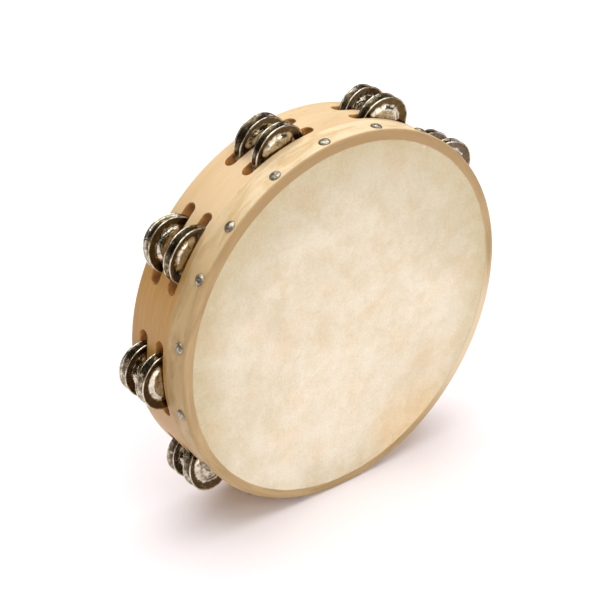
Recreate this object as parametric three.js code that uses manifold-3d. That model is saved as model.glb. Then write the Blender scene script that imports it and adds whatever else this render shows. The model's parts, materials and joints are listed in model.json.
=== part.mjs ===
// A double-row tambourine: a bent wooden hoop with a tacked calfskin head on one side, and
// sixteen pairs of loose steel jingles on eight long pins.
// Millimetres, +Z up. The drum stands on its rim with the head facing -Y. The origin is on the
// ground under its middle, halfway between its front and its back.
import * as THREE from 'three';
import { mergeVertices } from 'three/addons/utils/BufferGeometryUtils.js';
import Module from 'manifold-3d';

const wasm = await Module();
wasm.setup();

// ---- driving dimensions ----
const HOOP_RADIUS = 127;
const HOOP_DEPTH = 55.4;
const HOOP_WALL = 7.6;
const HOOP_SIDES = 72;
const EDGE_BREAK = 0.8; // chamfer of the hoop's back edges and of the edge that bears the skin
const CLEARANCE = 0.3; // between pieces that touch

const SKIN_THICKNESS = 0.5;
const SKIN_SKIRT = 17; // how far the skin comes down the outside of the hoop
const SKIN_SHOULDER = 1.4; // rounding of the hoop's front corner under the skin

// Angles of the stations, in degrees from +X towards +Z. The widest gap is at the bottom, where
// the drum stands.
const STATION_ANGLES = [221.95, 184.25, 146.55, 108.85, 71.15, 36.3, -1.4, -39.1];
const ROWS = { front: 25.6, rear: 42.4 }; // slot centres, measured back from the head
const SLOT_LENGTH = 53;
const SLOT_WIDTH = 7.8;
const SLOT_END_STEPS = 3; // facets in each quarter of a round end

const PIN_RADIUS = 1;
const PIN_DEEP = 3.4; // a pin's axis below the outside of the hoop
const PIN_TIP = 11.5; // measured back from the head
const PIN_POINT = 1.5;
const PIN_HEAD_RADIUS = 2.2;
const PIN_HEAD_THICKNESS = 1;
const PIN_HEAD_SUNK = 0.2;
const PIN_SIDES = 8;

const JINGLE_RADIUS = 18.5;
const JINGLE_SHEET = 0.5;
const JINGLE_SIDES = 16;
const JINGLE_HOLE = 2.2;
const JINGLE_PROFILE = [ // radius and height of the sheet's middle, from the hole to the rim
  [JINGLE_HOLE, 1.3],
  [9.4, 1.3],
  [13, 0],
  [JINGLE_RADIUS, 1.8],
];
const JINGLE_VALLEY = 13; // where the backs of two jingles meet
const JINGLE_SAG = 0.4; // how far a jingle hangs below its pin
const PAIR_GAP = 0.3; // between the backs of a pair
// How far each jingle leans its outer rim towards the head, in degrees, as the pairs come to
// rest: the two of the front row, then the two of the rear row.
const LEAN = [
  [10.5, 4.5, 4, -3],
  [5, -1.5, -0.5, -7],
  [11.5, 8.2, -5.5, -11],
  [8, 6, 9, 4],
  [8, 2.5, -3, -9],
  [9, 6, 0, -4],
  [10, 4.5, 2, -4],
  [9, 3, 4, -2],
];
// How far the jingles of each station are turned about the radius through the pin, in degrees.
const SKEW = [0, 0.3, 0, 0, -0.2, -0.5, -0.3, 0.2];

const TACK_RADIUS = 3.65;
const TACK_HEIGHT = 2.1;
const TACK_SHANK_RADIUS = 0.8;
const TACK_SHANK_LENGTH = 5.5;
const TACK_POINT = 1.2;
const TACK_SIDES = 8;
const TACK_FROM_HEAD = 5.7;
// Angles of the tacks, in degrees from +X towards +Z. They were driven by eye, so the spacing
// varies, and the stretch that the drum stands on has none.
const TACK_ANGLES = [
  190.9, 169.9, 150.4, 134.7, 116.9, 99.7, 81.6, 64.4, 45.1,
  22.5, 2.5, -17.5, -36.5, -55.5, -74, -106, -126, -147.5,
];

// ---- worked out from them ----
const HOOP_INNER = HOOP_RADIUS - HOOP_WALL;
const PIN_CIRCLE = HOOP_RADIUS - PIN_DEEP;
const HALF_SIDE = Math.PI / HOOP_SIDES;
const REBATE = SKIN_THICKNESS + CLEARANCE; // the skin lies flush in a shallow rebate

// ---- materials ----
const maple = new THREE.MeshStandardMaterial({ color: 0xd9ad78, roughness: 0.55, metalness: 0 });
const calfskin = new THREE.MeshStandardMaterial({ color: 0xdcc6a0, roughness: 0.6, metalness: 0 });
const nickel = new THREE.MeshStandardMaterial({ color: 0xb8b2a4, roughness: 0.22, metalness: 1 });
const steel = new THREE.MeshStandardMaterial({ color: 0x9a968e, roughness: 0.35, metalness: 1 });
const bright = new THREE.MeshStandardMaterial({ color: 0xc9c5bb, roughness: 0.25, metalness: 1 });

// ---- solids ----
function toSolid(geometry) {
  const bare = geometry.clone();
  bare.deleteAttribute('normal');
  bare.deleteAttribute('uv');
  const merged = mergeVertices(bare, 1e-4);
  const faces = merged.index.array;
  const kept = [];
  for (let i = 0; i < faces.length; i += 3) {
    const [a, b, c] = [faces[i], faces[i + 1], faces[i + 2]];
    if (a !== b && b !== c && c !== a) kept.push(a, b, c);
  }
  return new wasm.Manifold(new wasm.Mesh({
    numProp: 3,
    vertProperties: new Float32Array(merged.attributes.position.array),
    triVerts: new Uint32Array(kept),
  }));
}

function toGeometry(solid) {
  const mesh = solid.getMesh();
  const geometry = new THREE.BufferGeometry();
  geometry.setAttribute('position', new THREE.BufferAttribute(mesh.vertProperties, 3));
  geometry.setIndex(new THREE.BufferAttribute(mesh.triVerts, 1));
  geometry.computeVertexNormals();
  return geometry;
}

function cut(blank, cutters) {
  return cutters.reduce((left, cutter) => left.subtract(toSolid(cutter)), blank);
}

// A solid of revolution about Y. The outline goes up its outside and comes down its inside.
function turned(outline, sides, phiStart = 0) {
  const points = outline.map(([radius, height]) => new THREE.Vector2(radius, height));
  return new THREE.LatheGeometry(points, sides, phiStart);
}

function ring(outline, sides, phiStart) {
  return turned([...outline, outline[0]], sides, phiStart);
}

// A drill along Y from one height to another.
function drill(radius, from, to, sides) {
  return turned([[0, from], [radius, from], [radius, to], [0, to]], sides);
}

// Turns a shape made about the X axis to its angle round the hoop.
function swing(geometry, degrees) {
  return geometry.rotateY(-THREE.MathUtils.degToRad(degrees));
}

function stationAngle(station) {
  return STATION_ANGLES[station];
}

const stations = [...STATION_ANGLES.keys()];

// ---- hoop ----
function hoopBlank() {
  const shelf = HOOP_RADIUS - REBATE;
  const back = HOOP_DEPTH;
  return ring([
    [HOOP_INNER, REBATE + EDGE_BREAK],
    [HOOP_INNER + EDGE_BREAK, REBATE],
    [shelf - SKIN_SHOULDER, REBATE],
    [shelf, REBATE + SKIN_SHOULDER],
    [shelf, SKIN_SKIRT + CLEARANCE],
    [HOOP_RADIUS, SKIN_SKIRT + CLEARANCE],
    [HOOP_RADIUS, back - EDGE_BREAK],
    [HOOP_RADIUS - EDGE_BREAK, back],
    [HOOP_INNER + EDGE_BREAK, back],
    [HOOP_INNER, back - EDGE_BREAK],
  ], HOOP_SIDES, HALF_SIDE);
}

function slotCutter(angle, height) {
  const half = SLOT_LENGTH / 2 - SLOT_WIDTH / 2;
  const outline = new THREE.Shape();
  outline.absarc(half, 0, SLOT_WIDTH / 2, -Math.PI / 2, Math.PI / 2);
  outline.absarc(-half, 0, SLOT_WIDTH / 2, Math.PI / 2, 3 * Math.PI / 2);
  const cutter = new THREE.ExtrudeGeometry(outline, {
    depth: 3 * HOOP_WALL, bevelEnabled: false, curveSegments: SLOT_END_STEPS,
  });
  cutter.rotateY(Math.PI / 2);
  cutter.translate(HOOP_INNER - HOOP_WALL, height, 0);
  return swing(cutter, angle);
}

function pinHoleCutters(angle) {
  const bore = drill(PIN_RADIUS + 1.4 * CLEARANCE, PIN_TIP - CLEARANCE, HOOP_DEPTH + 1, PIN_SIDES);
  const seatBottom = HOOP_DEPTH - PIN_HEAD_SUNK - PIN_HEAD_THICKNESS - CLEARANCE;
  const seat = drill(PIN_HEAD_RADIUS + 1.4 * CLEARANCE, seatBottom, HOOP_DEPTH + 1, PIN_SIDES);
  return [bore, seat].map((hole) => swing(hole.translate(PIN_CIRCLE, 0, 0), angle));
}

function tackHoleCutter(angle) {
  const radius = TACK_SHANK_RADIUS + 1.4 * CLEARANCE;
  const hole = drill(radius, -TACK_SHANK_LENGTH - CLEARANCE, 2, TACK_SIDES);
  hole.rotateZ(-Math.PI / 2);
  hole.translate(HOOP_RADIUS, TACK_FROM_HEAD, 0);
  return swing(hole, angle);
}

function makeHoop() {
  const cutters = stations.flatMap((station) => {
    const angle = stationAngle(station);
    const slots = Object.values(ROWS).map((height) => slotCutter(angle, height));
    return [...slots, ...pinHoleCutters(angle)];
  });
  cutters.push(...TACK_ANGLES.map(tackHoleCutter));
  return piece('hoop', toGeometry(cut(toSolid(hoopBlank()), cutters)), maple);
}

// ---- skin head ----
function makeSkin() {
  const inside = HOOP_RADIUS - SKIN_THICKNESS;
  const skin = turned([
    [0, 0],
    [HOOP_INNER, 0],
    [HOOP_RADIUS - 1.2 * SKIN_SHOULDER, 0.3],
    [HOOP_RADIUS - 0.25 * SKIN_SHOULDER, 1.1],
    [HOOP_RADIUS, 0.4 + 1.3 * SKIN_SHOULDER],
    [HOOP_RADIUS, SKIN_SKIRT],
    [inside, SKIN_SKIRT],
    [inside, REBATE + SKIN_SHOULDER],
    [inside - SKIN_SHOULDER, SKIN_THICKNESS],
    [0, SKIN_THICKNESS],
  ], HOOP_SIDES, HALF_SIDE);
  const solid = cut(toSolid(skin), TACK_ANGLES.map(tackHoleCutter));
  return piece('skin_head', toGeometry(solid), calfskin);
}

// ---- pins ----
function pinGeometry() {
  const top = HOOP_DEPTH - PIN_HEAD_SUNK;
  return toGeometry(toSolid(turned([
    [0, PIN_TIP],
    [PIN_RADIUS, PIN_TIP + PIN_POINT],
    [PIN_RADIUS, top - PIN_HEAD_THICKNESS],
    [PIN_HEAD_RADIUS, top - PIN_HEAD_THICKNESS],
    [PIN_HEAD_RADIUS, top],
    [0, top],
  ], PIN_SIDES)));
}

// ---- jingles ----
function jingleGeometry() {
  const half = JINGLE_SHEET / 2;
  const back = JINGLE_PROFILE.map(([radius, height]) => [radius, height - half]);
  const face = JINGLE_PROFILE.map(([radius, height]) => [radius, height + half]).reverse();
  return toGeometry(toSolid(ring([...back, ...face], JINGLE_SIDES, Math.PI / 2)));
}

// One pair in one slot: the backs meet in the middle of the slot, the cupped faces look outwards.
function addPair(group, geometry, station, row, leans) {
  const angle = THREE.MathUtils.degToRad(stationAngle(station));
  const skew = THREE.MathUtils.degToRad(SKEW[station]);
  const [fore, aft] = leans.map(THREE.MathUtils.degToRad);
  const spread = JINGLE_SHEET + PAIR_GAP + JINGLE_VALLEY * Math.sin(Math.abs(fore - aft));
  const sides = { fore: [fore, -1, Math.PI], aft: [aft, 1, 0] };
  for (const [side, [lean, sign, flip]] of Object.entries(sides)) {
    const jingle = piece(`jingle_${station + 1}_${row}_${side}`, geometry, nickel);
    jingle.position.set(
      PIN_CIRCLE - JINGLE_SAG * Math.sin(angle),
      ROWS[row] + sign * spread / 2,
      -JINGLE_SAG * Math.cos(angle),
    );
    jingle.rotation.set(skew + flip, 0, -lean, 'ZXY');
    group.add(jingle);
  }
}

function makeStation(station, pin, jingle) {
  const group = new THREE.Group();
  group.rotation.y = -THREE.MathUtils.degToRad(stationAngle(station));
  const nail = piece(`pin_${station + 1}`, pin, steel);
  nail.position.x = PIN_CIRCLE;
  group.add(nail);
  addPair(group, jingle, station, 'front', LEAN[station].slice(0, 2));
  addPair(group, jingle, station, 'rear', LEAN[station].slice(2));
  return group;
}

// ---- tacks ----
function tackGeometry() {
  const shape = turned([
    [0, -TACK_SHANK_LENGTH],
    [TACK_SHANK_RADIUS, TACK_POINT - TACK_SHANK_LENGTH],
    [TACK_SHANK_RADIUS, CLEARANCE],
    [TACK_RADIUS, CLEARANCE],
    [0.62 * TACK_RADIUS, 0.78 * TACK_HEIGHT + CLEARANCE],
    [0, TACK_HEIGHT + CLEARANCE],
  ], TACK_SIDES);
  return toGeometry(toSolid(shape.rotateZ(-Math.PI / 2)));
}

function makeTack(geometry, degrees, index) {
  const angle = THREE.MathUtils.degToRad(degrees);
  const tack = piece(`tack_${index + 1}`, geometry, bright);
  tack.position.set(
    HOOP_RADIUS * Math.cos(angle), TACK_FROM_HEAD, HOOP_RADIUS * Math.sin(angle),
  );
  tack.rotation.y = -angle;
  return tack;
}

// ---- assembly ----
function piece(name, geometry, material) {
  const mesh = new THREE.Mesh(geometry, material);
  mesh.name = name;
  return mesh;
}

const tambourine = new THREE.Group();
tambourine.add(makeHoop(), makeSkin());

const pin = pinGeometry();
const jingle = jingleGeometry();
tambourine.add(...stations.map((station) => makeStation(station, pin, jingle)));

const tack = tackGeometry();
tambourine.add(...TACK_ANGLES.map((degrees, index) => makeTack(tack, degrees, index)));

// The lowest flat of the hoop lies on the ground.
tambourine.position.set(0, -HOOP_DEPTH / 2, HOOP_RADIUS * Math.cos(HALF_SIDE));

export default tambourine;
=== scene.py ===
"""The looks of a headed double-row tambourine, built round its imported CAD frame.

Every piece is modelled in metres in the frame's own coordinates, so its object sits at the
origin: the hoop, the skin, the pins and the tacks ride on the drum, and each jingle on its own
body. Angles go round the drum's axis from +X towards +Z, and "back" is the distance behind the
front of the head.
"""

import json
import random
from math import asin, atan2, cos, hypot, pi, radians, sin, sqrt

import bpy
import numpy as np
from mathutils import Matrix, Quaternion, Vector, geometry, noise


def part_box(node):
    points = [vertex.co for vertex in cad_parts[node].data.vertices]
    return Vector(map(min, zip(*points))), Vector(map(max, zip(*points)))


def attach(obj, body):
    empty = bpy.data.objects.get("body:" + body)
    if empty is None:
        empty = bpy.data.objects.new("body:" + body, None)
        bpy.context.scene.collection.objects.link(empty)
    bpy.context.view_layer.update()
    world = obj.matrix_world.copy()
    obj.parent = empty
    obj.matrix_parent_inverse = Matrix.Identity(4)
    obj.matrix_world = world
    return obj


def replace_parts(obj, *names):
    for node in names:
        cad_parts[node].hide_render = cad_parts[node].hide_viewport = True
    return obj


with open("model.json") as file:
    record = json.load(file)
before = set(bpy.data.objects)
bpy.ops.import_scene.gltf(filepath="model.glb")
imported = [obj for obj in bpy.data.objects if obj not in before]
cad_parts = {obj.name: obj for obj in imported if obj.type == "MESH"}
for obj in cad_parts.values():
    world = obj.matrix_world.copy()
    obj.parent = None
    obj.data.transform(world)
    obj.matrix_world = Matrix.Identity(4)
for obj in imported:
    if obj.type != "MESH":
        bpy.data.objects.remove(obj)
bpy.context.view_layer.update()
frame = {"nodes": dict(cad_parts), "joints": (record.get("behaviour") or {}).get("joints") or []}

MM = 0.001

# ---- the frame's sizes and places ----
hoop_low, hoop_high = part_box("hoop")
skin_low, skin_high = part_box("skin_head")
HOOP_RADIUS = (hoop_high.x - hoop_low.x) / 2
AXLE = (hoop_low.z + hoop_high.z) / 2
HEAD = skin_low.y
DEPTH = hoop_high.y - HEAD
SKIRT = skin_high.y - HEAD

# ---- sizes that only the looks need ----
WALL = 7.6 * MM
HOOP_INNER = HOOP_RADIUS - WALL
INNER_FROM = 3 * MM  # where the inner surface begins behind the head
COLUMNS = 360  # facets round the hoop
START, STEP = -pi / 2, 2 * pi / COLUMNS  # the first facet is at the bottom
WRAP_ROWS = 18  # rows of facets along the hoop's depth
CORNER_STEPS = 4  # facets round a small corner
EDGE_ROUND = 0.8 * MM  # of the hoop's back edges
EDGE_STEPS = 5
FRONT_BEVEL = 0.8 * MM  # of the hoop's inner front edge
SLOT_LENGTH = 53 * MM
SLOT_WIDTH = 7.8 * MM
SLOT_HALF = (SLOT_LENGTH - SLOT_WIDTH) / 2  # half of a slot's middle line
SLOT_EASE = 0.6 * MM  # sanded edge of a slot
SLOT_ARC, SLOT_STEPS = 22, 20  # facets round an end of a slot and along a side
SLOT_REACH = 0.4  # a slot is near only within this angle of its station
SLOT_CLEAR = 0.7 * MM  # no grid point lies nearer a slot's edge
SLOT_SLACK = 0.02 * MM  # a facet's middle may lie inside the edge by this much
SEAT_RADIUS = 2.45 * MM  # recess of a pin's head
SEAT_DEPTH = 1.3 * MM
SEAT_COLUMNS = 24
SEAT_CLEAR = 0.5 * MM  # no grid point lies nearer a recess
SEAT_INSIDE = 0.99  # a facet's middle within this share of the radius is in the recess

SKIN_THICKNESS = 0.5 * MM
SKIN_FIT = 0.05 * MM  # air between the skin and the hoop's rebate
SKIN_COLUMNS = 540
SKIN_TURNS = [2 * pi * i / SKIN_COLUMNS for i in range(SKIN_COLUMNS)]
SHOULDER = 2.0 * MM  # rounding of the skin over the hoop's front corner
SHOULDER_STEPS = 7
RECESS = 0.45 * MM  # how far the membrane lies behind the band over the hoop
BAND_INNER = HOOP_RADIUS - 6.6 * MM  # where the band over the hoop begins
BAND_STEP = 0.9 * MM  # width of the step from the membrane to the band
SAG_EASE = 20 * MM  # the membrane's unevenness fades out this far before the band
UNDER_SAG = 0.15 * MM  # how far the membrane's back lies behind its edge
SKIRT_ROWS = 16
SKIRT_GAP = 0.15 * MM  # from the skirt's mean edge to the step of the hoop's rebate
TACK_LINE = 5.7 * MM  # how far behind the head the tacks sit
DIMPLE_DEPTH, DIMPLE_RADIUS = 0.16 * MM, 7 * MM  # where a tack pulls the skirt in
UNSHADED_SPOT = (0.0, HEAD, 0.097)  # where the membrane gets no painted shade
WARM_BOUNCE_SPOT = (0.064, HEAD, 0.022)  # where the painted warm bounce light is strongest
LIT_BAND_SPOT = (0.114, HEAD, 0.078)  # where painted light brightens the band over the hoop most

JINGLE_RADIUS = 18.5 * MM
JINGLE_SHEET = 0.5 * MM
JINGLE_HOLE = 2.2 * MM
JINGLE_BEAD = 0.5 * MM  # radius of the rolled rim
BEAD_STEPS, BEAD_TURN = 9, 250  # facets round it, and how many degrees they cover
JINGLE_COLUMNS = 84
JINGLE_STEPS = 34  # facets along a jingle's radius
BELL_FOOT = 13.0 * MM  # where the raised bell in a jingle's middle begins
BELL_SHOULDER, BELL_RISE, BELL_CROWN = 3.5 * MM, 1.2 * MM, 0.5 * MM
LIP_HEIGHT = 1.6 * MM
SHEET_LIFT = 0.1 * MM  # from the hinge's place to the sheet's middle at the foot of the bell
FLANGE_FROM = 12.0 * MM  # the tarnish on a jingle's flange reaches in this far
JINGLE_DENT = 0.05 * MM

TACK_RADIUS = 3.65 * MM
TACK_HEIGHT = 1.7 * MM
TACK_COLUMNS, DOME_STEPS = 40, 11
DOME_FROM = 12  # degrees up the dome where it leaves the tack's rim
TACK_SINK = 0.1 * MM  # how deep a tack is driven into the skin
TACK_TILT = 4  # degrees at most, about each of two axes
TACK_DENT = 0.10 * MM
GRIME_SHADE_FROM, GRIME_SHADE_WIDTH = 2.9 * MM, 0.8 * MM  # the grime and painted shade round a tack's rim
PIN_RADIUS = 1.0 * MM
PIN_HEAD_RADIUS = 2.2 * MM
PIN_HEAD_HEIGHT = 1.0 * MM
PIN_COLUMNS = 28

TACK_SEED, JINGLE_SEED = 100, 500  # of the random draws
WARM_WHITE = (1.0, 0.985, 0.965)  # of both lights


def node_middle(name):
    """The mean of a CAD node's vertices: a turned piece has it on its own axis."""
    vertices = frame["nodes"][name].data.vertices
    return sum((v.co for v in vertices), Vector()) / len(vertices)


def node_angle(name):
    """A CAD node's angle round the drum."""
    middle = node_middle(name)
    return atan2(middle.z - AXLE, middle.x)


def nodes_named(start):
    return sorted(name for name in frame["nodes"] if name.startswith(start))


STATIONS = [node_angle(name) for name in nodes_named("pin_")]
first_pin = node_middle("pin_1")
PIN_CIRCLE = hypot(first_pin.x, first_pin.z - AXLE)


def row_back(row):
    """How far behind the head the slots of a row are centred."""
    places = [joint["pos_m"][1] for joint in frame["joints"] if f"_{row}_" in joint["name"]]
    return sum(places) / len(places) - HEAD


ROWS = [row_back("front"), row_back("rear")]


# ---- camera ----
def make_camera():
    azimuth, elevation, roll = radians(-39.5), radians(29.48), radians(1.68)
    aim, distance = Vector((-0.0124, 0, 0.1287)), 0.8839
    back = Vector((sin(azimuth) * cos(elevation), -cos(azimuth) * cos(elevation), sin(elevation)))
    data = bpy.data.cameras.new("camera")
    data.lens, data.sensor_width = 81.03, 36
    data.clip_start, data.clip_end = 0.01, 100
    camera = bpy.data.objects.new("camera", data)
    bpy.context.scene.collection.objects.link(camera)
    camera.location = aim + back * distance
    camera.rotation_mode = "QUATERNION"
    level = (-back).to_track_quat("-Z", "Y")
    camera.rotation_quaternion = level @ Quaternion((0, 0, 1), roll)
    bpy.context.scene.camera = camera


# ---- mesh helpers ----
def on_drum(angle, radius, back):
    """The point at an angle round the drum, a radius from its axis and a depth behind the head."""
    return (radius * cos(angle), HEAD + back, AXLE + radius * sin(angle))


def ripple(*place, seed=0.0):
    """Smooth noise between about -1 and 1. Each seed looks at another part of it."""
    x, y, z = (*place, 0.0, 0.0)[:3]
    return noise.noise(Vector((x + 17.3 * seed, y - 9.1 * seed, z + 5.7 * seed)))


class Build:
    """Points and faces that grow into one mesh in the frame's coordinates."""

    def __init__(self):
        self.points, self.faces, self.kinds = [], [], []

    def add(self, points):
        start = len(self.points)
        self.points.extend(points)
        return list(range(start, len(self.points)))

    def face(self, corners, kind=0):
        corners = list(dict.fromkeys(corners))
        if len(corners) > 2:
            self.faces.append(corners)
            self.kinds.append(kind)

    def skin_rings(self, rings, closed=False, kind=0):
        """Faces between rings of points that go round; closed joins the last to the first."""
        following = rings[1:] + rings[:1] if closed else rings[1:]
        for low, high in zip(rings, following):
            count = len(low)
            for i in range(count):
                j = (i + 1) % count
                self.face([low[i], low[j], high[j], high[i]], kind)

    def turned(self, outline, columns, place, closed=False):
        """An outline of (radius, height) turned about Z, each point put through place."""
        turns = [2 * pi * i / columns for i in range(columns)]
        rings = []
        for radius, height in outline:
            if radius == 0:
                rings.append(self.add([place(0, 0, height)]) * columns)
                continue
            rings.append(self.add([place(radius * cos(t), radius * sin(t), height) for t in turns]))
        self.skin_rings(rings, closed)

    def finish(self, name, materials, sharp=None):
        mesh = bpy.data.meshes.new(name)
        mesh.from_pydata(self.points, [], self.faces)
        mesh.polygons.foreach_set("use_smooth", [True] * len(self.faces))
        mesh.polygons.foreach_set("material_index", self.kinds)
        for material in materials:
            mesh.materials.append(material)
        if sharp is not None:
            mesh.set_sharp_from_angle(angle=radians(sharp))
        mesh.update()
        obj = bpy.data.objects.new(name, mesh)
        bpy.context.scene.collection.objects.link(obj)
        return obj


def set_numbers(obj, name, kind, values):
    """A named attribute at each point, for the material to read."""
    layer = obj.data.attributes.new(name, kind, "POINT")
    layer.data.foreach_set("vector" if kind == "FLOAT_VECTOR" else "value", np.ravel(values))


def quarter(steps):
    """Angles of a quarter turn, both ends included."""
    return [pi / 2 * i / steps for i in range(steps + 1)]


def clamp(value):
    return min(max(value, 0.0), 1.0)


def eased(share):
    """A step from 0 to 1 with a soft start and end."""
    share = clamp(share)
    return share * share * (3 - 2 * share)


# ---- material helpers ----
class Finish:
    """A material under construction. Its methods add shader nodes and return their sockets."""

    def __init__(self, name, **constants):
        self.material = bpy.data.materials.new(name)
        self.material.use_nodes = True
        self.tree = self.material.node_tree
        self.surface = self.tree.nodes["Principled BSDF"]
        for socket, value in constants.items():
            self.surface.inputs[socket.replace("_", " ")].default_value = value

    def feed(self, socket, value):
        if isinstance(value, bpy.types.NodeSocket):
            self.tree.links.new(value, socket)
        else:
            socket.default_value = value

    def node(self, kind, inputs, **settings):
        made = self.tree.nodes.new("ShaderNode" + kind)
        for name, value in settings.items():
            setattr(made, name, value)
        for name, value in inputs.items():
            self.feed(made.inputs[name], value)
        return made

    def show(self, **sockets):
        for name, value in sockets.items():
            self.feed(self.surface.inputs[name.replace("_", " ")], value)

    def object_point(self):
        return self.node("TexCoord", {}).outputs["Object"]

    def attribute(self, name, output="Fac"):
        return self.node("Attribute", {}, attribute_name=name).outputs[output]

    def split(self, vector):
        return list(self.node("SeparateXYZ", {0: vector}).outputs)

    def join(self, x, y, z):
        return self.node("CombineXYZ", {0: x, 1: y, 2: z}).outputs[0]

    def scaled(self, vector, x, y, z):
        return self.node("VectorMath", {0: vector, 1: (x, y, z)}, operation="MULTIPLY").outputs[0]

    def sum_of(self, first, second):
        return self.node("VectorMath", {0: first, 1: second}, operation="ADD").outputs[0]

    def distance(self, first, second):
        return self.node("VectorMath", {0: first, 1: second}, operation="DISTANCE").outputs["Value"]

    def math(self, operation, first, second=0.0):
        return self.node("Math", {0: first, 1: second}, operation=operation).outputs[0]

    def times(self, first, second):
        return self.math("MULTIPLY", first, second)

    def plus(self, value, other, weight):
        """value with the other one added, times its weight."""
        return self.math("ADD", value, self.times(other, weight))

    def length(self, x, y):
        return self.math("SQRT", self.math("ADD", self.times(x, x), self.times(y, y)))

    def noise(self, vector, scale, detail=2.0, rough=0.5, distort=0.0):
        inputs = {"Vector": vector, "Scale": scale, "Detail": detail, "Roughness": rough,
                  "Distortion": distort}
        return self.node("TexNoise", inputs).outputs["Fac"]

    def cells(self, vector, scale, feature="F1"):
        made = self.node("TexVoronoi", {"Vector": vector, "Scale": scale}, feature=feature)
        return made.outputs["Distance"]

    def band(self, value, low, high, to_low=0.0, to_high=1.0):
        """value between low and high, eased and mapped to to_low and to_high."""
        inputs = {"Value": value, "From Min": low, "From Max": high,
                  "To Min": to_low, "To Max": to_high}
        return self.node("MapRange", inputs, interpolation_type="SMOOTHSTEP").outputs[0]

    def mix(self, factor, first, second, blend="MIX"):
        made = self.node("Mix", {}, data_type="RGBA", blend_type=blend)
        self.feed(made.inputs[0], factor)
        self.feed(made.inputs[6], first)
        self.feed(made.inputs[7], second)
        return made.outputs[2]

    def bump(self, height, distance, strength):
        inputs = {"Height": height, "Distance": distance, "Strength": strength}
        return self.node("Bump", inputs).outputs[0]

    def drum_point(self):
        """The place from the drum's axis as (x, z, depth), and its depth and radius alone."""
        x, y, z = self.split(self.object_point())
        height = self.math("SUBTRACT", z, AXLE)
        return self.join(x, height, y), y, self.length(x, height)

    def bent(self, kind, drum, along, deep, through, **inputs):
        """A four-dimensional texture that runs round the hoop with no seam: its scales are for
        the way along the bend, the depth and the radius."""
        place, _, radius = drum
        inputs["Vector"] = self.scaled(place, along, along, deep)
        inputs["W"] = self.times(radius, through)
        settings = {"TexNoise": "noise_dimensions", "TexVoronoi": "voronoi_dimensions"}
        return self.node(kind, {**inputs, "Scale": 1.0}, **{settings[kind]: "4D"}).outputs

    def grain(self, drum, along, deep, through, detail=2.0, rough=0.5, distort=0.0):
        """Noise stretched along the bend of the hoop."""
        made = self.bent("TexNoise", drum, along, deep, through, Detail=detail, Roughness=rough,
                         Distortion=distort)
        return made["Fac"]


def rgb(red, green, blue):
    return (red, green, blue, 1.0)


# ---- materials ----
def wood_finish():
    """Pale maple, its grain running round the hoop, under a thin satin lacquer, with painted shade
    on its left side and in its slots.
    """
    f = Finish("hoop_maple", Coat_Weight=0.18, Coat_Roughness=0.28, Specular_IOR_Level=0.4)
    drum = f.drum_point()
    drift = f.grain(drum, 7, 45, 45, 3.0, 0.55, 0.4)
    layers = f.grain(drum, 5, 190, 120, 3.0, 0.5, 0.8)
    fibres = f.grain(drum, 45, 1500, 1300, 3.0, 0.6)
    lines = f.band(f.math("SINE", f.times(layers, 46.0)), 0.2, 1.0)
    fleck = f.band(f.bent("TexVoronoi", drum, 130, 900, 700)["Distance"], 0.18, 0.32, 1.0, 0.0)
    fleck = f.times(fleck, f.band(f.grain(drum, 25, 110, 90), 0.52, 0.66))

    pale, tan, shaded_left_honey = rgb(0.79, 0.60, 0.365), rgb(0.72, 0.505, 0.275), rgb(0.45, 0.225, 0.025)
    late, fibre, dark = rgb(0.62, 0.40, 0.20), rgb(0.64, 0.44, 0.24), rgb(0.44, 0.24, 0.10)
    colour = f.mix(f.band(drift, 0.3, 0.72), pale, tan)
    across, _, _ = f.split(f.object_point())
    # painted shade: the hoop's left side turns a darker, more orange honey colour
    left = f.band(f.plus(across, drift, 30 * MM), -106 * MM, -72 * MM, 0.95, 0.0)
    colour = f.mix(left, colour, shaded_left_honey)
    colour = f.mix(f.times(lines, 0.14), colour, late)
    colour = f.mix(f.band(fibres, 0.35, 0.75, 0.0, 0.24), colour, fibre)
    colour = f.mix(f.times(fleck, 0.55), colour, dark)

    # the slot walls: end grain, darkened further with painted shade inside the slots
    raw_wood, burnt_wood = rgb(0.60, 0.31, 0.09), rgb(0.42, 0.195, 0.05)
    burnt = f.band(f.noise(f.object_point(), 260.0, 3.0, 0.6), 0.35, 0.7)
    sawn_and_shade = f.mix(burnt, raw_wood, burnt_wood)
    colour = f.mix(f.band(f.attribute("cut"), 0.25, 1.0), colour, sawn_and_shade)

    rough = f.band(fibres, 0.3, 0.75, 0.40, 0.56)
    height = f.plus(f.plus(f.times(fibres, 0.6), lines, -0.25), fleck, -0.4)
    f.show(Base_Color=colour, Roughness=rough, Normal=f.bump(height, 0.12 * MM, 0.55))
    return f.material


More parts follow.
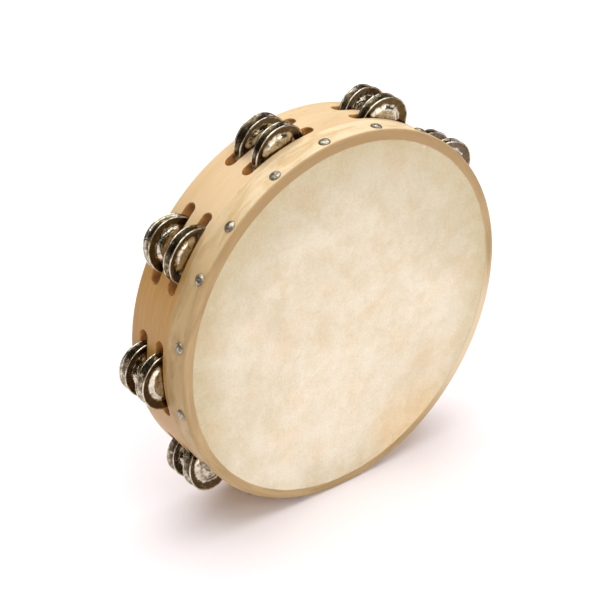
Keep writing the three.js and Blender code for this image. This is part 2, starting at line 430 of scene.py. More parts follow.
def membrane_colour(f, point, wander, radius, height):
    """Mottled cream with painted light: painted shade darkens it away from a spot below the middle
    and near the rim, and a painted warm bounce light tints the lower right.
    """
    cream, buff = rgb(0.815, 0.755, 0.63), rgb(0.75, 0.68, 0.54)
    shade_olive, warm_bounce = rgb(0.61, 0.555, 0.415), rgb(0.79, 0.615, 0.38)
    clouds = f.noise(point, 14.0, 3.0, 0.55, 0.3)
    colour = f.mix(f.band(clouds, 0.36, 0.64), cream, buff)
    # painted shade: the membrane turns olive away from a spot below its middle, darkest at the top
    # and edges
    painted_shade_far = f.band(f.plus(f.distance(point, UNSHADED_SPOT), clouds, 70 * MM), 95 * MM, 170 * MM)
    colour = f.mix(f.times(painted_shade_far, 0.90), colour, shade_olive)
    # painted warm bounce light: a warm tint on the membrane's lower right
    near_warm_bounce = f.plus(f.distance(point, WARM_BOUNCE_SPOT), clouds, 40 * MM)
    colour = f.mix(f.band(near_warm_bounce, 30 * MM, 75 * MM, 0.9, 0.0), colour, warm_bounce)
    # painted shade: the membrane is darker near the rim, except at the bottom
    rim_shade = f.times(f.band(radius, 95 * MM, 119 * MM), f.band(height, 30 * MM, 110 * MM, 0.0, 0.8))
    colour = f.mix(rim_shade, colour, rgb(0.91, 0.87, 0.76), "MULTIPLY")

    yellow, pink, grey = rgb(0.935, 0.905, 0.84), rgb(0.99, 0.94, 0.885), rgb(0.94, 0.92, 0.88)
    mottle = f.noise(wander, 75.0, 5.0, 0.62)
    blush = f.noise(wander, 42.0, 3.0, 0.5)
    grain = f.noise(point, 620.0, 3.0, 0.7)
    colour = f.mix(f.band(mottle, 0.36, 0.66), colour, yellow, "MULTIPLY")
    colour = f.mix(f.band(blush, 0.48, 0.68), colour, pink, "MULTIPLY")
    colour = f.mix(f.band(grain, 0.38, 0.64), colour, grey, "MULTIPLY")
    return colour, mottle, grain


def glued_colour(f, drum, point, height):
    """The band over the hoop: brown with glue, with painted shade darkening it at the top and
    painted light brightening it at one side.
    """
    glue, dark_glue = rgb(0.48, 0.335, 0.17), rgb(0.36, 0.24, 0.105)
    painted_light_tan, dull = rgb(0.72, 0.585, 0.40), rgb(0.37, 0.235, 0.10)
    streaks = f.grain(drum, 22, 150, 150, 4.0, 0.6, 0.5)
    colour = f.mix(f.band(streaks, 0.32, 0.7), glue, dark_glue)
    # painted light: the band turns a lighter tan near one spot on its right side
    near_lit_spot = f.plus(f.distance(point, LIT_BAND_SPOT), streaks, 20 * MM)
    colour = f.mix(f.band(near_lit_spot, 35 * MM, 80 * MM, 0.9, 0.0), colour, painted_light_tan)
    # painted shade: the band turns dull and dark at the top
    top_shade = f.band(f.plus(height, streaks, 30 * MM), 170 * MM, 240 * MM, 0.0, 0.75)
    return f.mix(top_shade, colour, dull)


def skirt_colour(f, drum, across):
    """The skirt down the hoop's side: smeared with glue, and darker on the left as painted shade.
    """
    smear = f.grain(drum, 36, 125, 125, 4.0, 0.66, 0.6)
    stain = f.band(smear, 0.42, 0.66)
    unshaded_skirt = f.mix(stain, rgb(0.80, 0.64, 0.42), rgb(0.64, 0.455, 0.235))
    # old: the skirt's colour with painted shade, used on its left side
    old = f.mix(stain, rgb(0.54, 0.375, 0.165), rgb(0.41, 0.26, 0.095))
    skirt_left_shade = f.band(f.plus(across, smear, 30 * MM), -108 * MM, -55 * MM, 0.90, 0.0)
    return f.mix(skirt_left_shade, unshaded_skirt, old)


def skin_finish():
    """Natural calfskin: mottled cream over the opening, darker where it is glued to the hoop."""
    f = Finish("calfskin", Specular_IOR_Level=0.32, Subsurface_Weight=0.05,
               Subsurface_Scale=0.002, Sheen_Weight=0.06)
    point = f.object_point()
    across, _, height = f.split(point)
    drum = f.drum_point()
    _, back, radius = drum
    warp = f.node("TexNoise", {"Vector": point, "Scale": 28.0, "Detail": 3.0}).outputs["Color"]
    wander = f.sum_of(point, f.scaled(warp, 12 * MM, 12 * MM, 12 * MM))
    colour, mottle, grain = membrane_colour(f, point, wander, radius, height)

    veins = f.band(f.cells(wander, 30.0, "DISTANCE_TO_EDGE"), 0.0, 0.045, 1.0, 0.0)
    veins = f.times(veins, f.band(f.noise(point, 16.0, 2.0), 0.5, 0.72))
    spots = f.node("TexVoronoi", {"Vector": point, "Scale": 36.0}).outputs
    chosen = f.band(f.split(spots["Color"])[0], 0.80, 0.82)
    speck = f.times(f.band(spots["Distance"], 0.018, 0.034, 1.0, 0.0), chosen)
    halo = f.times(f.band(spots["Distance"], 0.03, 0.09, 1.0, 0.0), chosen)
    vein_brown, halo_tan, dark = rgb(0.60, 0.45, 0.27), rgb(0.86, 0.75, 0.55), rgb(0.33, 0.22, 0.12)
    colour = f.mix(f.times(veins, 0.25), colour, vein_brown)
    colour = f.mix(f.times(halo, 0.45), colour, halo_tan)
    colour = f.mix(f.times(speck, 0.8), colour, dark)

    edge = f.plus(radius, f.noise(point, 120.0, 2.0), 0.8 * MM)
    over_hoop = f.band(edge, BAND_INNER - 0.3 * MM, BAND_INNER + 0.6 * MM)
    colour = f.mix(over_hoop, colour, glued_colour(f, drum, point, height))
    down = f.band(back, HEAD + 0.4 * MM, HEAD + 2.2 * MM)
    colour = f.mix(f.times(over_hoop, down), colour, skirt_colour(f, drum, across))

    rough = f.band(mottle, 0.3, 0.75, 0.50, 0.66)
    pores = f.cells(point, 1100.0)
    relief = f.plus(f.times(grain, 0.5), pores, 0.35)
    relief = f.plus(f.plus(relief, mottle, 1.4), speck, -0.8)
    f.show(Base_Color=colour, Roughness=rough, Normal=f.bump(relief, 0.14 * MM, 0.5))
    return f.material


def jingle_finish():
    """Worn nickel plate on a pressed cup, brown with tarnish where nothing rubs it."""
    f = Finish("jingle_nickel", Metallic=1.0)
    disc = f.attribute("disc", "Vector")
    x, y, _ = f.split(disc)
    radius = f.length(x, y)
    patches = f.noise(disc, 300.0, 4.0, 0.6, 0.3)
    fine = f.noise(disc, 1500.0, 3.0, 0.6)
    dents = f.noise(disc, 420.0, 2.0)
    turning = f.noise(f.join(radius, 0.0, 0.0), 2600.0, 2.0)
    scratch = f.noise(f.scaled(disc, 3000, 260, 260), 1.0, 2.0)

    def by_side(on_back, in_cup):
        return f.band(f.attribute("cup"), 0.2, 0.8, on_back, in_cup)

    flange = f.band(radius, FLANGE_FROM, FLANGE_FROM + 2.5 * MM)
    rim_off = f.band(radius, JINGLE_RADIUS - 1.4 * MM, JINGLE_RADIUS - 0.8 * MM, 1.0, 0.0)
    flange = f.times(f.times(flange, rim_off), by_side(0.55, 1.0))
    eye = f.band(radius, JINGLE_HOLE, 3.6 * MM, 0.8, 0.0)
    hidden = f.math("MAXIMUM", flange, eye)
    tarnish = f.times(f.band(f.plus(patches, hidden, 0.36), 0.52, 0.76), by_side(0.6, 1.0))

    bright, worn, brown = rgb(0.70, 0.66, 0.56), rgb(0.40, 0.355, 0.26), rgb(0.085, 0.058, 0.03)
    colour = f.mix(f.band(patches, 0.3, 0.7), bright, worn)
    colour = f.mix(f.times(tarnish, 0.9), colour, brown)
    rough = f.plus(f.band(patches, 0.3, 0.75, 0.07, 0.14), tarnish, 0.12)
    rough = f.plus(rough, f.band(scratch, 0.62, 0.7), 0.10)
    height = f.plus(f.times(fine, 0.15), turning, 0.2)
    height = f.plus(height, dents, by_side(1.2, 3.0))
    f.show(Base_Color=colour, Roughness=rough, Normal=f.bump(height, 0.12 * MM, 0.8))
    return f.material


def tack_finish():
    """Nickel-plated tack, dulled and dented by the hammer, its rim darkened with grime and painted
    shade.
    """
    f = Finish("tack_nickel", Metallic=1.0)
    point = f.object_point()
    dents = f.noise(point, 700.0, 3.0, 0.5, 0.4)
    fine = f.noise(point, 3200.0, 2.0)
    rim = f.attribute("rim")
    bright, dull, grime_and_shade = rgb(0.52, 0.49, 0.415), rgb(0.23, 0.20, 0.15), rgb(0.20, 0.15, 0.09)
    colour = f.mix(f.band(dents, 0.35, 0.62), bright, dull)
    # grime and painted shade darken the tack's rim
    colour = f.mix(f.times(rim, 0.7), colour, grime_and_shade)
    rough = f.plus(f.band(dents, 0.3, 0.75, 0.30, 0.44), rim, 0.2)
    height = f.plus(f.times(dents, 1.6), fine, 0.2)
    f.show(Base_Color=colour, Roughness=rough, Normal=f.bump(height, 0.4 * MM, 0.8))
    return f.material


def pin_finish():
    """Drawn steel wire with faint lengthwise marks and a little rust."""
    f = Finish("pin_steel", Metallic=1.0)
    point = f.object_point()
    drawn = f.noise(f.scaled(point, 2600, 60, 2600), 1.0, 3.0, 0.6)
    rust = f.band(f.noise(point, 320.0, 4.0, 0.65), 0.54, 0.72)
    light, dark, rusty = rgb(0.56, 0.53, 0.49), rgb(0.42, 0.39, 0.35), rgb(0.27, 0.13, 0.06)
    colour = f.mix(f.band(drawn, 0.3, 0.7), light, dark)
    colour = f.mix(f.times(rust, 0.55), colour, rusty)
    rough = f.plus(f.band(drawn, 0.3, 0.7, 0.28, 0.42), rust, 0.25)
    f.show(Base_Color=colour, Roughness=rough, Normal=f.bump(drawn, 0.04 * MM, 0.5))
    return f.material


# ---- flat layouts: the hoop's surfaces unrolled, with their holes ----
def slot_outline(grow):
    """Points round a slot, as (across the drum's axis, along it) from its centre."""
    radius = SLOT_WIDTH / 2 + grow
    arc = [pi * i / SLOT_ARC - pi / 2 for i in range(SLOT_ARC + 1)]
    right = [(SLOT_HALF + radius * cos(t), radius * sin(t)) for t in arc]
    left = [(-x, -y) for x, y in right]
    top = [(SLOT_HALF - 2 * SLOT_HALF * i / SLOT_STEPS, radius) for i in range(1, SLOT_STEPS)]
    bottom = [(-x, -y) for x, y in top]
    return right + top + left + bottom


def flat_slot(radius, station, row):
    """A slot's edge on a cylinder's unrolled surface."""
    points = []
    for across, along in slot_outline(SLOT_EASE):
        turn = (station + asin(across / radius) - START) % (2 * pi)
        points.append((radius * turn, row + along))
    return points


def flat_seat(station):
    """The edge of a pin's recess on the unrolled back edge."""
    middle = PIN_CIRCLE * ((station - START) % (2 * pi))
    turns = [2 * pi * i / SEAT_COLUMNS for i in range(SEAT_COLUMNS)]
    return [(middle + SEAT_RADIUS * cos(t), PIN_CIRCLE + SEAT_RADIUS * sin(t)) for t in turns]


def turn_from(angle, station):
    """The angle from a station, between minus and plus half a turn."""
    return (angle - station + pi) % (2 * pi) - pi


def nearest_slot(angle, back, radius):
    """Distance of a point on a cylinder from the nearest slot's middle line, or 1 when far off."""
    best = 1.0
    for station in STATIONS:
        turn = turn_from(angle, station)
        if abs(turn) < SLOT_REACH:
            beyond = max(abs(radius * sin(turn)) - SLOT_HALF, 0.0)
            best = min(best, *(hypot(beyond, back - row) for row in ROWS))
    return best


def nearest_pin(u, v):
    """Distance of a place on the unrolled back edge from the nearest pin."""
    return min(hypot(u - PIN_CIRCLE * ((station - START) % (2 * pi)), v - PIN_CIRCLE)
               for station in STATIONS)


def add_loop(flat, edges, points):
    """Adds a closed loop to a flat layout and returns its points' numbers."""
    numbers = list(range(len(flat), len(flat) + len(points)))
    flat.extend(points)
    edges.extend(zip(numbers, numbers[1:] + numbers[:1]))
    return numbers


def triangles(points, edges):
    """Delaunay triangles of flat points in metres that keep the given edges. Returns the points
    in millimetres, the triangles, and which of the given points each point stands for."""
    flat = [Vector((x / MM, y / MM)) for x, y in points]
    every_triangle, tolerance = 0, 1e-5
    found = geometry.delaunay_2d_cdt(flat, edges, [], every_triangle, tolerance)
    return found[0], found[2], found[3]


def centre_of(face, spots):
    """The middle of a flat triangle, in metres."""
    return [sum(spots[i][axis] for i in face) / len(face) * MM for axis in (0, 1)]


# ---- hoop ----
def hoop_ring(build, radius, back):
    return build.add([on_drum(START + STEP * i, radius, back) for i in range(COLUMNS)])


def wrap(build, radius, low, high, inward):
    """The hoop's outer or inner surface, with a hole for each slot. Returns its two border rings
    and the ring of points round each slot."""
    flat, edges, borders = [], [], []
    for back in (low, high):
        numbers = list(range(len(flat), len(flat) + COLUMNS + 1))
        flat += [(radius * STEP * i, back) for i in range(COLUMNS + 1)]
        edges += list(zip(numbers, numbers[1:]))
        borders.append(numbers)
    edges += [(borders[0][0], borders[1][0]), (borders[0][-1], borders[1][-1])]
    hole = SLOT_WIDTH / 2 + SLOT_EASE
    for row in range(1, WRAP_ROWS):
        back = low + (high - low) * row / WRAP_ROWS
        flat += [(radius * STEP * i, back) for i in range(1, COLUMNS)
                 if nearest_slot(START + STEP * i, back, radius) > hole + SLOT_CLEAR]
    slots = [add_loop(flat, edges, flat_slot(radius, station, row))
             for station in STATIONS for row in ROWS]

    spots, faces, origin = triangles(flat, edges)
    placed = build.add([on_drum(START + u * MM / radius, radius, v * MM) for u, v in spots])
    new_number = {old: placed[new] for new, olds in enumerate(origin) for old in olds}
    for face in faces:
        u, v = centre_of(face, spots)
        if nearest_slot(START + u / radius, v, radius) > hole - SLOT_SLACK:
            corners = [placed[i] for i in face]
            build.face(corners[::-1] if inward else corners)
    borders = [[new_number[i] for i in numbers[:-1]] for numbers in borders]
    return borders, [[new_number[i] for i in numbers] for numbers in slots]


def slot_walls(build, outer_rings, inner_rings):
    """The walls between each slot's edge outside and inside, with eased corners. Returns how much
    end-grain colour and painted shade each of their points takes."""
    outside = [(SLOT_EASE * (1 - sin(a)), HOOP_RADIUS - SLOT_EASE * (1 - cos(a)))
               for a in quarter(CORNER_STEPS)[1:]]
    middle = [(0.0, HOOP_INNER + WALL * share) for share in (0.75, 0.5, 0.25)]
    inside = [(grow, HOOP_INNER + HOOP_RADIUS - radius) for grow, radius in outside[::-1]]
    places = [(station, row) for station in STATIONS for row in ROWS]
    # how much end-grain colour and painted shade each wall point takes
    end_grain_and_shade = {}
    for (station, row), outer, inner in zip(places, outer_rings, inner_rings):
        rings = [outer]
        for grow, radius in outside + middle + inside:
            ring = [on_drum(station + asin(across / radius), radius, row + along)
                    for across, along in slot_outline(grow)]
            rings.append(build.add(ring))
            end_grain_and_shade.update((i, 1 - grow / SLOT_EASE) for i in rings[-1])
        rings.append(inner)
        build.skin_rings([ring[::-1] for ring in rings])
    return end_grain_and_shade


def back_corners(build, outer_ring, inner_ring):
    """The two rounded corners of the back edge. Returns their last rings."""
    rings_out, rings_in = [outer_ring], [inner_ring]
    for a in quarter(EDGE_STEPS)[1:]:
        back = DEPTH - EDGE_ROUND * (1 - sin(a))
        inset = EDGE_ROUND * (1 - cos(a))
        rings_out.append(hoop_ring(build, HOOP_RADIUS - inset, back))
        rings_in.append(hoop_ring(build, HOOP_INNER + inset, back))
    build.skin_rings([ring[::-1] for ring in rings_out])
    build.skin_rings(rings_in)
    return rings_out[-1], rings_in[-1]


def back_face(build, outer_ring, inner_ring):
    """The flat back edge between two rings, with a recess for each pin's head."""
    low, high = HOOP_INNER + EDGE_ROUND, HOOP_RADIUS - EDGE_ROUND
    flat, edges, old_points = [], [], []
    for radius, ring in ((low, inner_ring), (high, outer_ring)):
        first = len(flat)
        flat += [(PIN_CIRCLE * STEP * i, radius) for i in range(COLUMNS + 1)]
        edges += [(first + i, first + i + 1) for i in range(COLUMNS)]
        old_points += ring + ring[:1]
    edges += [(0, COLUMNS + 1), (COLUMNS, 2 * COLUMNS + 1)]
    seats = [add_loop(flat, edges, flat_seat(station)) for station in STATIONS]
    for share in (0.25, 0.5, 0.75):
        radius = low + (high - low) * share
        grid = [(PIN_CIRCLE * STEP * i, radius) for i in range(1, COLUMNS)]
        flat += [spot for spot in grid if nearest_pin(*spot) > SEAT_RADIUS + SEAT_CLEAR]

    spots, faces, origin = triangles(flat, edges)
    placed, new_number = [], {}
    for (u, v), olds in zip(spots, origin):
        known = [old_points[old] for old in olds if old < len(old_points)]
        placed.append(known[0] if known else
                      build.add([on_drum(START + u * MM / PIN_CIRCLE, v * MM, DEPTH)])[0])
        new_number.update((old, placed[-1]) for old in olds)
    for face in faces:
        u, v = centre_of(face, spots)
        if nearest_pin(u, v) > SEAT_RADIUS * SEAT_INSIDE and low < v < high:
            build.face([placed[i] for i in face])
    for numbers in seats:
        rim = [new_number[i] for i in numbers]
        floor = build.add([(x, y - SEAT_DEPTH, z) for x, y, z in (build.points[i] for i in rim)])
        build.skin_rings([rim[::-1], floor[::-1]])
        build.face(floor)


def front_shelf(build, outer_ring, inner_ring):
    """The part of the hoop under the skin: a shallow rebate outside and the front edge."""
    shelf = HOOP_RADIUS - SKIN_THICKNESS - SKIN_FIT
    front = SKIN_THICKNESS + SKIN_FIT
    corner = SHOULDER - SKIN_THICKNESS
    outline = [(shelf, SKIRT)]
    outline += [(shelf - corner * (1 - cos(a)), front + corner * (1 - sin(a)))
                for a in quarter(CORNER_STEPS)]
    outline += [(HOOP_INNER + FRONT_BEVEL, front), (HOOP_INNER, front + FRONT_BEVEL)]
    rings = [hoop_ring(build, radius, back) for radius, back in outline]
    build.skin_rings([outer_ring, *rings, inner_ring])


def make_hoop(wood):
    build = Build()
    last = DEPTH - EDGE_ROUND
    outer, outer_slots = wrap(build, HOOP_RADIUS, SKIRT + SKIRT_GAP, last, False)
    inner, inner_slots = wrap(build, HOOP_INNER, INNER_FROM, last, True)
    end_grain_and_shade = slot_walls(build, outer_slots, inner_slots)
    back_face(build, *back_corners(build, outer[1], inner[1]))
    front_shelf(build, outer[0], inner[0])
    hoop = build.finish("hoop_maple_ring", [wood], sharp=40)
    set_numbers(hoop, "cut", "FLOAT", [end_grain_and_shade.get(i, 0.0) for i in range(len(build.points))])
    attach(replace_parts(hoop, "hoop"), "drum")


# ---- skin ----
def skin_ring(build, radius, back):
    return build.add([on_drum(turn, radius, back) for turn in SKIN_TURNS])


def membrane_sag(x, z):
    """How far the stretched membrane wanders from flat at a place on the head."""
    broad = 0.10 * MM * (1 + ripple(x * 22, z * 22, seed=1))
    return broad + 0.04 * MM * ripple(x * 75, z * 75, seed=2)


def face_ring(build, radius):
    """A ring of the front face: recessed membrane inside, band over the hoop outside."""
    recessed = 1 - eased((radius - BAND_INNER + BAND_STEP) / BAND_STEP)
    loose = min(1.0, (BAND_INNER - radius) / SAG_EASE)
    ring = []
    for turn in SKIN_TURNS:
        sag = membrane_sag(radius * cos(turn), radius * sin(turn))
        ring.append(on_drum(turn, radius, recessed * (RECESS + sag * loose)))
    return build.add(ring)


def side_ring(build, tack_angles, radius, back, trimmed=0.0):
    """A ring of the skirt, dimpled at the tacks and trimmed by hand at its edge."""
    ring = []
    for turn in SKIN_TURNS:
        away = min(hypot(HOOP_RADIUS * turn_from(turn, tack), back - TACK_LINE)
                   for tack in tack_angles)
        dimple = DIMPLE_DEPTH * max(0.0, 1 - away / DIMPLE_RADIUS) ** 2
        swell = abs(0.05 * MM * ripple(turn * 9, back * 120, seed=3))
        trim = 0.35 * MM * ripple(turn * 11, seed=4) + 0.12 * MM * ripple(turn * 45, seed=5)
        ring.append(on_drum(turn, radius - dimple - swell, back + trimmed * trim))
    return build.add(ring)


def skin_front(build):
    """Rings of the front face from its centre to the shoulder."""
    membrane = [4 * MM * i for i in range(1, 30)] + [118 * MM, 118.8 * MM]
    step = [BAND_INNER - BAND_STEP + 0.15 * MM * i for i in range(8)]
    band = [122 * MM, 123.5 * MM, HOOP_RADIUS - SHOULDER]
    centre = build.add([on_drum(0, 0, RECESS + membrane_sag(0, 0))]) * SKIN_COLUMNS
    return [centre] + [face_ring(build, radius) for radius in membrane + step + band]


def skin_side(build, tack_angles):
    """Rings round the shoulder, down the skirt and over its cut edge."""
    flat_to = HOOP_RADIUS - SHOULDER
    rings = [side_ring(build, tack_angles, flat_to + SHOULDER * sin(a), SHOULDER * (1 - cos(a)))
             for a in quarter(SHOULDER_STEPS)[1:]]
    for i in range(1, SKIRT_ROWS):
        share = i / SKIRT_ROWS
        back = SHOULDER + (SKIRT - 0.6 * MM - SHOULDER) * share
        rings.append(side_ring(build, tack_angles, HOOP_RADIUS, back, share ** 4))
    for lift, past in ((0.16, -0.1), (0.18, 0.5), (0.08, 0.65)):
        radius, back = HOOP_RADIUS + lift * MM, SKIRT + past * MM
        rings.append(side_ring(build, tack_angles, radius, back, 1.0))
    return rings


def skin_back(build):
    """Rings of the side that touches the hoop, from the skirt's edge to the centre."""
    under, corner = HOOP_RADIUS - SKIN_THICKNESS, SHOULDER - SKIN_THICKNESS
    behind = SKIN_THICKNESS + RECESS
    outline = [(HOOP_RADIUS + 0.02 * MM, SKIRT + 0.3 * MM), (under, SKIRT + 0.05 * MM)]
    outline += [(under - corner * (1 - cos(a)), SKIN_THICKNESS + corner * (1 - sin(a)))
                for a in quarter(CORNER_STEPS)]
    outline += [(HOOP_INNER + 0.6 * MM, SKIN_THICKNESS), (HOOP_INNER - 0.6 * MM, behind)]
    outline += [(radius * MM, behind + UNDER_SAG) for radius in (100, 60, 20)]
    rings = [skin_ring(build, radius, back) for radius, back in outline]
    return rings + [build.add([on_drum(0, 0, behind + UNDER_SAG)]) * SKIN_COLUMNS]


def make_skin(calfskin, tack_angles):
    build = Build()
    rings = skin_front(build) + skin_side(build, tack_angles) + skin_back(build)
    build.skin_rings([ring[::-1] for ring in rings])
    skin = build.finish("calfskin_head", [calfskin])
    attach(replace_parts(skin, "skin_head"), "drum")


# ---- tacks ----
def axes_at(angle):
    """A turned piece's local X, Y and Z at an angle of the drum, with Z pointing outwards."""
    outward = Vector((cos(angle), 0, sin(angle)))
    along = Vector((0, 1, 0))
    return Matrix((along.cross(outward), along, outward)).transposed()


def tack_outline():
    """From the point, up the shank and under the head, over the rim to the top of the dome."""
    shank = [(0, -5.5 * MM), (0.75 * MM, -4.3 * MM), (0.8 * MM, 0.0)]
    rim = [(3.2 * MM, 0.02 * MM), (TACK_RADIUS, 0.0), (TACK_RADIUS + 0.03 * MM, 0.16 * MM)]
    rises = [radians(DOME_FROM + (90 - DOME_FROM) * i / DOME_STEPS) for i in range(DOME_STEPS)]
    dome = [(TACK_RADIUS * cos(a) ** 0.9, TACK_HEIGHT * sin(a)) for a in rises]
    return shank + rim + dome + [(0, TACK_HEIGHT)]


def make_tack(node, number, nickel):
    chance = random.Random(TACK_SEED + number)
    angle = node_angle(node)
    back = node_middle(node).y - HEAD
    tilt = Matrix.Rotation(radians(chance.uniform(-TACK_TILT, TACK_TILT)), 3, "X")
    tilt @= Matrix.Rotation(radians(chance.uniform(-TACK_TILT, TACK_TILT)), 3, "Y")
    spin = Matrix.Rotation(chance.uniform(0, 2 * pi), 3, "Z")
    turn = axes_at(angle) @ tilt @ spin
    seat = Vector(on_drum(angle, HOOP_RADIUS - TACK_SINK, back))
    rims = []

    def place(x, y, z):
        on_dome = z > 0.3 * MM
        dent = TACK_DENT * ripple(x * 420, y * 420, seed=number) if on_dome else 0.0
        rims.append(clamp((hypot(x, y) - GRIME_SHADE_FROM) / GRIME_SHADE_WIDTH))
        return tuple(seat + turn @ Vector((x, y, z + dent)))

    build = Build()
    build.turned(tack_outline(), TACK_COLUMNS, place)
    tack = build.finish(f"tack_head_{number}", [nickel], sharp=50)
    set_numbers(tack, "rim", "FLOAT", rims)
    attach(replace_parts(tack, node), "drum")


# ---- pins ----
def pin_outline(length):
    """From the blunt point, along the wire, to the middle of the flat round head."""
    neck = length - PIN_HEAD_HEIGHT
    wire = [(0, 0), (0.35 * MM, 0.35 * MM), (PIN_RADIUS, 1.6 * MM), (PIN_RADIUS, neck)]
    head = [(PIN_HEAD_RADIUS - 0.15 * MM, neck),
            (PIN_HEAD_RADIUS, length - 0.8 * PIN_HEAD_HEIGHT),
            (PIN_HEAD_RADIUS, length - 0.25 * PIN_HEAD_HEIGHT),
            (PIN_HEAD_RADIUS - 0.3 * MM, length - 0.06 * PIN_HEAD_HEIGHT),
            (0.5 * PIN_HEAD_RADIUS, length)]
    return wire + head + [(0, length)]


def make_pin(node, number, steel):
    low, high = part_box(node)
    middle = node_middle(node)

    def place(x, y, z):
        return (middle.x + x, low.y + z, middle.z - y)

    build = Build()
    build.turned(pin_outline(high.y - low.y), PIN_COLUMNS, place)
    pin = build.finish(f"pin_wire_{number}", [steel], sharp=35)
    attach(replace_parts(pin, node), "drum")


# ---- jingles ----
def sheet_height(radius):
    """Height of the pressed sheet's middle: low bell, steep shoulder and rising lip."""
    bell = BELL_RISE * eased((BELL_FOOT - radius) / BELL_SHOULDER)
    crown = BELL_CROWN * max(0.0, 1 - (radius / (0.85 * BELL_FOOT)) ** 2)
    lip = max(0.0, (radius - BELL_FOOT) / (JINGLE_RADIUS - BELL_FOOT))
    return bell + crown + LIP_HEIGHT * lip ** 1.4 + SHEET_LIFT


def jingle_outline():
    """Back face outwards, rolled rim, then cupped face inwards to the hole."""
    last = JINGLE_RADIUS - 1.5 * JINGLE_BEAD
    radii = [JINGLE_HOLE + (last - JINGLE_HOLE) * i / JINGLE_STEPS for i in range(JINGLE_STEPS + 1)]
    nudge = 0.05 * MM
    back, face = [], []
    for radius in radii:
        slope = (sheet_height(radius + nudge) - sheet_height(radius - nudge)) / (2 * nudge)
        size = sqrt(1 + slope * slope)
        aside, up = -slope / size * JINGLE_SHEET / 2, JINGLE_SHEET / 2 / size
        height = sheet_height(radius)
        back.append((radius - aside, height - up))
        face.append((radius + aside, height + up))
    centre = JINGLE_RADIUS - JINGLE_BEAD
    level = sheet_height(centre)
    turns = [radians(BEAD_TURN * (i / BEAD_STEPS - 0.5)) for i in range(BEAD_STEPS + 1)]
    rim = [(centre + JINGLE_BEAD * cos(a), level + JINGLE_BEAD * sin(a)) for a in turns]
    return back + rim + face[::-1], len(back)


def make_jingle(joint, number, outline, outline_backs, nickel):
    chance = random.Random(JINGLE_SEED + number)
    axis = Vector(joint["axis"]).normalized()
    spin = Matrix.Rotation(chance.uniform(0, 2 * pi), 3, "Z")
    turn = axis.to_track_quat("Z", "Y").to_matrix() @ spin
    seat = Vector(joint["pos_m"])
    warp, phase = chance.uniform(0.03, 0.09) * MM, chance.uniform(0, pi)
    apart = 0.05 * number  # gives each jingle its own patch of the textures
    local = []

    def place(x, y, z):
        share = hypot(x, y) / JINGLE_RADIUS
        bend = warp * share ** 3 * cos(2 * atan2(y, x) + phase)
        dent = JINGLE_DENT * ripple(x * 230, y * 230, seed=number) * min(1.0, 2 * share)
        local.append((x, y, z + apart))
        return tuple(seat + turn @ Vector((x, y, z + bend + dent)))

    build = Build()
    build.turned(outline, JINGLE_COLUMNS, place, closed=True)
    body = joint["child"]
    jingle = build.finish(body.replace("jingle", "cup"), [nickel], sharp=60)
    set_numbers(jingle, "disc", "FLOAT_VECTOR", local)
    cupped = [float(i >= outline_backs) for i in range(len(outline))]
    set_numbers(jingle, "cup", "FLOAT", np.repeat(cupped, JINGLE_COLUMNS))
    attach(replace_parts(jingle, body), body)


# ---- stage ----
def make_floor():
    half = 6.0
    mesh = bpy.data.meshes.new("floor")
    corners = [(-half, -half, 0), (half, -half, 0), (half, half, 0), (-half, half, 0)]
    mesh.from_pydata(corners, [], [(0, 1, 2, 3)])
    floor = bpy.data.objects.new("floor", mesh)
    bpy.context.scene.collection.objects.link(floor)
    f = Finish("studio_floor", Specular_IOR_Level=0.1)
    cloth = f.noise(f.object_point(), 3.0, 2.0)
    f.show(Base_Color=f.mix(cloth, rgb(0.92, 0.88, 0.92), rgb(0.94, 0.90, 0.94)), Roughness=0.9)
    mesh.materials.append(f.material)


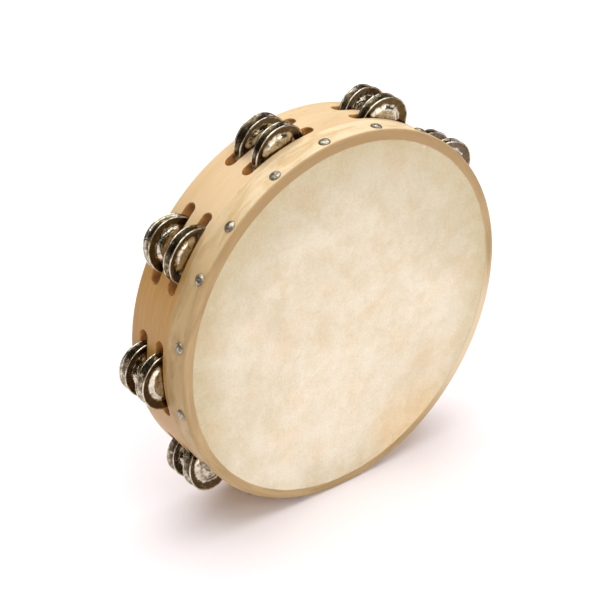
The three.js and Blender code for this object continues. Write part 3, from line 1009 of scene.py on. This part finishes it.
def make_world():
    """A soft white ceiling over a dark warm room. The camera sees plain white behind the object."""
    dark_room, ceiling_white = rgb(0.085, 0.058, 0.036), rgb(0.80, 0.79, 0.775)
    ceiling_from, ceiling_full = 0.55, 0.88  # as the height of a direction of length 1
    backdrop_strength = 1.1
    world = bpy.data.worlds.new("studio")
    bpy.context.scene.world = world
    world.use_nodes = True
    tree = world.node_tree
    tree.nodes.clear()
    place = tree.nodes.new("ShaderNodeTexCoord")
    split = tree.nodes.new("ShaderNodeSeparateXYZ")
    ceiling = tree.nodes.new("ShaderNodeMapRange")
    ceiling.interpolation_type = "SMOOTHSTEP"
    ceiling.inputs["From Min"].default_value = ceiling_from
    ceiling.inputs["From Max"].default_value = ceiling_full
    colour = tree.nodes.new("ShaderNodeMix")
    colour.data_type = "RGBA"
    colour.inputs[6].default_value = dark_room
    colour.inputs[7].default_value = ceiling_white
    room = tree.nodes.new("ShaderNodeBackground")
    white = tree.nodes.new("ShaderNodeBackground")
    white.inputs["Color"].default_value = rgb(1.0, 1.0, 1.0)
    white.inputs["Strength"].default_value = backdrop_strength
    choice = tree.nodes.new("ShaderNodeMixShader")
    seen = tree.nodes.new("ShaderNodeLightPath")
    output = tree.nodes.new("ShaderNodeOutputWorld")
    tree.links.new(place.outputs["Generated"], split.inputs[0])
    tree.links.new(split.outputs["Z"], ceiling.inputs["Value"])
    tree.links.new(ceiling.outputs[0], colour.inputs[0])
    tree.links.new(colour.outputs[2], room.inputs["Color"])
    tree.links.new(seen.outputs["Is Camera Ray"], choice.inputs[0])
    tree.links.new(room.outputs[0], choice.inputs[1])
    tree.links.new(white.outputs[0], choice.inputs[2])
    tree.links.new(choice.outputs[0], output.inputs["Surface"])


def make_sun(name, place, strength, spread):
    """A soft sun that shines from a place towards the origin."""
    data = bpy.data.lights.new(name, "SUN")
    data.energy, data.angle, data.color = strength, radians(spread), WARM_WHITE
    lamp = bpy.data.objects.new(name, data)
    bpy.context.scene.collection.objects.link(lamp)
    lamp.location = place
    lamp.rotation_euler = (-Vector(place)).to_track_quat("-Z", "Y").to_euler()


# ---- everything ----
make_camera()
make_world()
make_sun("overhead_light", (0.05, 0.13, 1.0), 2.5, 70)
make_sun("front_fill", (0.15, -1.0, 0.35), 1.6, 60)
make_floor()

make_hoop(wood_finish())
tacks = nodes_named("tack_")
make_skin(skin_finish(), [node_angle(node) for node in tacks])
tack_nickel = tack_finish()
for number, node in enumerate(tacks, 1):
    make_tack(node, number, tack_nickel)
pin_steel = pin_finish()
for number, node in enumerate(nodes_named("pin_"), 1):
    make_pin(node, number, pin_steel)
jingle_nickel = jingle_finish()
outline, outline_backs = jingle_outline()
for number, joint in enumerate(frame["joints"], 1):
    make_jingle(joint, number, outline, outline_backs, jingle_nickel)

bpy.context.scene.view_settings.view_transform = "Standard"
